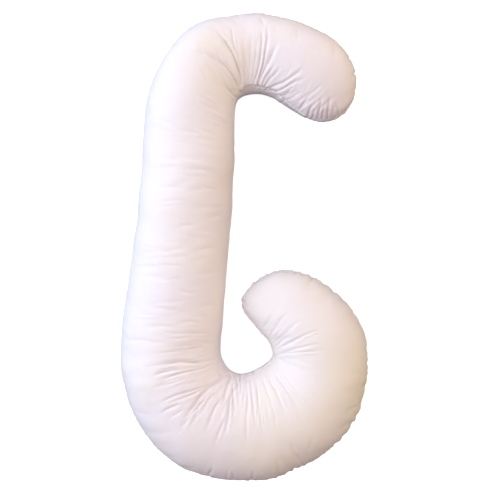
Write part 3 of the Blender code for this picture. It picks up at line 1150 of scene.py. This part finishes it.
def soft_spot(place, centre, radius):
    """1 at the centre, fading to 0 at the radius."""
    scale, location = [1 / radius] * 3, [-along / radius for along in centre]
    sockets = {"Vector": place, "Scale": scale, "Location": location}
    moved = node("ShaderNodeMapping", sockets).outputs["Vector"]
    ball = node("ShaderNodeTexGradient", {"Vector": moved}, gradient_type="SPHERICAL")
    return ball.outputs["Fac"]


def bump(height, distance, strength, below=None):
    """A pattern raised into a relief that is distance metres deep, over the one below."""
    sockets = {"Height": height, "Distance": distance, "Strength": strength}
    if below is not None:
        sockets["Normal"] = below
    return node("ShaderNodeBump", sockets).outputs["Normal"]


print("helpers: noise is read from", *NOISE_SPREAD)

# %% [markdown]
# ## Weave, yarn and crinkles
# Four reliefs lie on each other. The weave is a sine across the warp yarns plus a second sine
# whose start shifts from yarn to yarn, which makes the slow diagonal of sateen. Slubs are
# noise drawn out along the warp. Crinkles and soft dents follow the body of the pillow, since
# they come from washing and packing and know nothing of the weave.

# %% Weave, yarn and crinkles
YARN = 0.00045               # from one warp yarn to the next
FLOAT_LENGTH = 0.0016        # how far a yarn floats before it dips under
FLOAT_SHIFT = 0.4            # how far each float starts beyond its neighbour's
FLOAT_SHARE = 0.6            # height of the floats beside that of the yarns
SLUB = 0.0012                # width of a thick place in the yarn
SLUB_STRETCH = 14.0          # how much longer than wide it is
CRINKLE = 0.014
DENT = 0.045

axes = node("ShaderNodeSeparateXYZ", {0: cut})
across_warp, along_warp = axes.outputs["X"], axes.outputs["Y"]
yarn_wave = arithmetic("SINE", arithmetic("MULTIPLY", across_warp, 2 * np.pi / YARN), 0.0)
shift = arithmetic("MULTIPLY", across_warp, FLOAT_SHIFT * FLOAT_LENGTH / YARN)
shifted = arithmetic("ADD", along_warp, shift)
float_wave = arithmetic("SINE", arithmetic("MULTIPLY", shifted, 2 * np.pi / FLOAT_LENGTH), 0.0)
weave = arithmetic("ADD", yarn_wave, arithmetic("MULTIPLY", float_wave, FLOAT_SHARE))
slubs = noise(cut, SLUB, detail=2.0, stretch=(1.0, SLUB_STRETCH, 1.0))
crinkle = noise(body, CRINKLE, detail=4.0, roughness=0.55)
soft_dents = noise(body, DENT, detail=2.0)

surface = bump(soft_dents, distance=0.0016, strength=0.5)
surface = bump(crinkle, distance=0.0006, strength=0.5, below=surface)
surface = bump(slubs, distance=0.00012, strength=0.35, below=surface)
surface = bump(weave, distance=0.00005, strength=0.4, below=surface)
plug(shader, {"Normal": surface})
print("weave:", round(YARN / MM, 2), "mm between yarns")

# %% [markdown]
# ## Where the white turns cream
# Bleached cotton wanders between a rose white and an ivory in patches ten or fifteen
# centimetres wide. It is creamier at a few listed places, on the outside of the foot and a
# little at the head, and whiter at others, which a share below zero gives. Such patches could
# be painted on, but soft spots in the nodes can be moved and weighed one by one. The table is
# in metres from the middle of the pillow.

# %% Where the white turns cream
CREAM = 0.30                 # how far the white wanders towards ivory everywhere
PATCH = 0.13                 # size of the patches in which it does
CREAM_HEIGHT = 0.1           # the creamier places lie on the front
CreamPlace = namedtuple("CreamPlace", "x y radius share")
CREAM_PLACES = [
    CreamPlace(0.36, -0.42, 0.26, 1.0),
    CreamPlace(0.12, -0.61, 0.22, 0.75),
    CreamPlace(0.34, 0.57, 0.15, 0.2),
    CreamPlace(-0.09, 0.58, 0.15, 0.5),
    CreamPlace(0.17, 0.51, 0.18, -0.5),
    CreamPlace(-0.13, -0.48, 0.20, -0.45),
    CreamPlace(-0.25, -0.17, 0.18, -0.5),
]

cream = spread(noise(body, PATCH, detail=2.0), 0.0, CREAM)
for place in CREAM_PLACES:
    spot = soft_spot(body, (place.x, place.y, CREAM_HEIGHT), place.radius)
    cream = arithmetic("ADD", cream, arithmetic("MULTIPLY", spot, place.share))
print("creamier or whiter places:", len(CREAM_PLACES))

# %% [markdown]
# ## Colour and gleam
# The cream decides how far each place goes from rose white to ivory, and the yarn's own tone
# is multiplied in last. The gleam of sateen is soft: a roughness a little past the middle,
# higher in the crinkles, and a little sheen from the loose fibre that stands up from any
# cotton. What is the same all over is set straight on the shader's own sockets.

# %% Colour and gleam
ROSE_WHITE = (0.900, 0.882, 0.905, 1.0)
IVORY = (0.905, 0.882, 0.720, 1.0)
YARN_TONES = (0.975, 1.0)
ROUGHNESS = (0.50, 0.62)


def mix(share, first, second, blend="MIX"):
    """Two colours mixed; share is how much of the second goes in."""
    sockets = {"Factor": share, "A": first, "B": second}
    return node("ShaderNodeMix", sockets, data_type="RGBA", blend_type=blend).outputs["Result"]


tint = mix(cream, ROSE_WHITE, IVORY)
shade = mix(1.0, tint, spread(slubs, *YARN_TONES), blend="MULTIPLY")
plug(shader, {"Base Color": shade, "Roughness": spread(crinkle, *ROUGHNESS)})
shader.inputs["IOR"].default_value = 1.45
shader.inputs["Sheen Weight"].default_value = 0.12
shader.inputs["Sheen Roughness"].default_value = 0.45
cover_mesh.materials.append(material)
print("cloth nodes:", len(cloth_tree.nodes))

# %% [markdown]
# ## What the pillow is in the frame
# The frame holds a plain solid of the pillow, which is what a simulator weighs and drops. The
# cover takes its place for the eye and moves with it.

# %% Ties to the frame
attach(cover, "root")
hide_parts("pillow")
print("tied to the root, in place of the plain solid")

# %% [markdown]
# ## Floor and backdrop
# The pillow is shown on plain white. A floor that glows takes the shadows away, but light
# that bounces off white up onto white cloth would also wipe out the dark rim that sets the
# round sides off from it. So the pale floor is seen by the camera alone. Light goes on
# through it to a slate blue sheet just below, and it is that sheet which colours the rim. A
# great pale ball round everything keeps the view white when the camera is low.

# %% Floor and backdrop
FLOOR_SIZE = 60.0
BACKDROP_RADIUS = 28.0
UNDERLAY_SIZE = 30.0
UNDERLAY_DEPTH = 0.004
PALE = (0.93, 0.93, 0.93, 1.0)
SLATE = (0.03, 0.11, 0.32, 1.0)
FLOOR_GLOW = 0.80
BACKDROP_GLOW = 0.95
GLOW_COLOUR = (1.0, 1.0, 1.0, 1.0)
MATT_ROUGHNESS = 0.9


def matt(name, colour, glow=0.0):
    made = bpy.data.materials.new(name)
    made.use_nodes = True
    plug(made.node_tree.nodes["Principled BSDF"], {
        "Base Color": colour,
        "Roughness": MATT_ROUGHNESS,
        "Emission Color": GLOW_COLOUR,
        "Emission Strength": glow,
    })
    return made


def stage_piece(name, finish):
    """Names the object just made and gives it its finish."""
    made = bpy.context.object
    made.name = name
    made.data.materials.append(finish)
    return made


bpy.ops.mesh.primitive_plane_add(size=FLOOR_SIZE)
floor = stage_piece("pale_floor", matt("pale_floor", PALE, FLOOR_GLOW))
floor.visible_diffuse = False
floor.visible_glossy = False

bpy.ops.mesh.primitive_plane_add(size=UNDERLAY_SIZE, location=(0.0, 0.0, -UNDERLAY_DEPTH))
stage_piece("dark_underlay", matt("dark_underlay", SLATE))

bpy.ops.mesh.primitive_uv_sphere_add(radius=BACKDROP_RADIUS, segments=48, ring_count=24)
backdrop = stage_piece("pale_backdrop", matt("pale_backdrop", PALE, BACKDROP_GLOW))
backdrop.visible_diffuse = False
backdrop.visible_glossy = False
backdrop.visible_shadow = False
print("floor:", FLOOR_SIZE, "m, backdrop:", BACKDROP_RADIUS, "m")

# %% [markdown]
# ## Light
# White cloth shows its form only by the colour and the direction of the light. A large cool
# window stands low on the left and burns that side almost to paper white. A warm lamp on the
# right turns the far side of the tube to rose and sand, and a weak cool panel beyond the
# head lifts the top. All three are large and near, so no shadow has a hard edge. The room
# itself adds a rose light from everywhere, twice as strong from the ceiling as from low down,
# which leaves the round sides a little darker than the crown. The Standard view leaves white
# as white, where a filmic one would grey it.

# %% The room's own light
ROOM_ROSE = (0.556, 0.428, 0.412, 1.0)
LOW_LIGHT = 0.6              # strength of the room's light from the horizon
CEILING_LIGHT = 1.2          # and from straight above

scene = bpy.context.scene
scene.view_settings.view_transform = "Standard"
world = bpy.data.worlds.new("soft_room")
scene.world = world
world.use_nodes = True
room = world.node_tree
direction = node("ShaderNodeTexCoord", {}, tree=room).outputs["Generated"]
upward = node("ShaderNodeSeparateXYZ", {0: direction}, tree=room).outputs["Z"]
heights = {"Value": upward, "To Min": LOW_LIGHT, "To Max": CEILING_LIGHT}
by_height = node("ShaderNodeMapRange", heights, tree=room).outputs["Result"]
plug(room.nodes["Background"], {"Color": ROOM_ROSE, "Strength": by_height})
print("room:", world.name)

# %% [markdown]
# ## Three soft lights
# Each is a square area light, placed by compass: its azimuth counts from +X towards +Y, and
# its height is the angle above the floor, both in degrees. Distance, size and the point that
# it aims at are in metres. A light's power is worked out from its share, which is how bright
# it makes white cloth that faces it, so a light can be moved without losing its balance.

# %% Three soft lights
Softbox = namedtuple("Softbox", "name colour share azimuth height distance size aim")
SOFTBOXES = [
    Softbox("window", (0.708, 0.848, 1.0), 1.044, 165, 28, 5.0, 4.8, (0.0, 0.15, 0.1)),
    Softbox("warm_lamp", (1.0, 0.80, 0.44), 0.412, 20, 20, 4.4, 4.2, (0.0, 0.15, 0.1)),
    Softbox("far_panel", (0.80, 0.80, 1.0), 0.193, 90, 40, 5.0, 4.0, (0.0, 0.1, 0.1)),
]


def put_up(softbox):
    """Hangs one soft light at its place and turns it towards its aim."""
    turn, rise = np.radians(softbox.azimuth), np.radians(softbox.height)
    towards = Vector((np.cos(turn) * np.cos(rise), np.sin(turn) * np.cos(rise), np.sin(rise)))
    data = bpy.data.lights.new(softbox.name, "AREA")
    data.color = softbox.colour
    data.energy = softbox.share * (np.pi * softbox.distance) ** 2
    data.size = softbox.size
    lamp = bpy.data.objects.new(softbox.name, data)
    lamp.location = Vector(softbox.aim) + towards * softbox.distance
    lamp.rotation_mode = "QUATERNION"
    lamp.rotation_quaternion = towards.to_track_quat("Z", "Y")
    bpy.context.collection.objects.link(lamp)


for softbox in SOFTBOXES:
    put_up(softbox)
